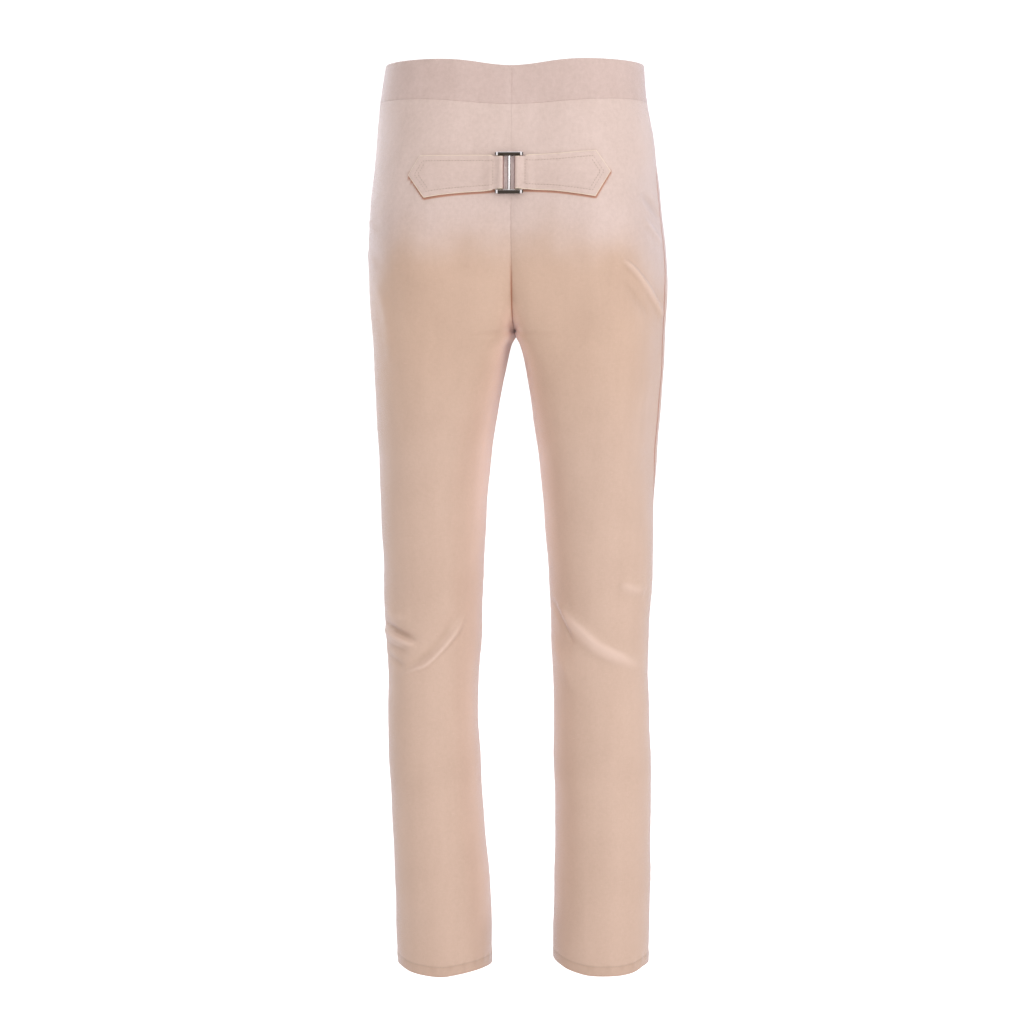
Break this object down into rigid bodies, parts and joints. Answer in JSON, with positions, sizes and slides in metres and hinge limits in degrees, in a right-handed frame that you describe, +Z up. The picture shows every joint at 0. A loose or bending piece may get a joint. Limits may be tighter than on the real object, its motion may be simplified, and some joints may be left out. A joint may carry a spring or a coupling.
{
  "type": "fall-front trousers",
  "caption": "High-waisted fall-front trousers filled out as if worn, hollow and open at waist and hems, with a half belt and buckle across the seat.",
  "frame": {"origin": "middle of the waistband's ring, half way up the band, where the wearer's waist holds the garment", "axes": "+Z up the body, -Y out of the front with the fall, +Y out of the back with the buckle, +X to the wearer's left"},
  "size_m": [0.3422, 0.2507, 1.0458],
  "materials": {
    "trouser_cloth": "fine wool twill with a soft sheen",
    "waistband_cloth": "the same twill, doubled and pressed",
    "tab_cloth": "the same twill, doubled and topstitched",
    "buckle_metal": "polished nickel plate",
    "button_horn": "satin horn"
  },
  "bodies": {
    "root": {"back_left": "trouser_cloth", "back_right": "trouser_cloth", "front_left": "trouser_cloth", "front_right": "trouser_cloth", "fall": "trouser_cloth", "waistband_left": "waistband_cloth", "waistband_right": "waistband_cloth", "tab_left": "tab_cloth", "tab_right": "tab_cloth", "buckle": "buckle_metal", "fall_button_left": "button_horn", "fall_button_centre": "button_horn", "fall_button_right": "button_horn"}
  },
  "joints": []
}
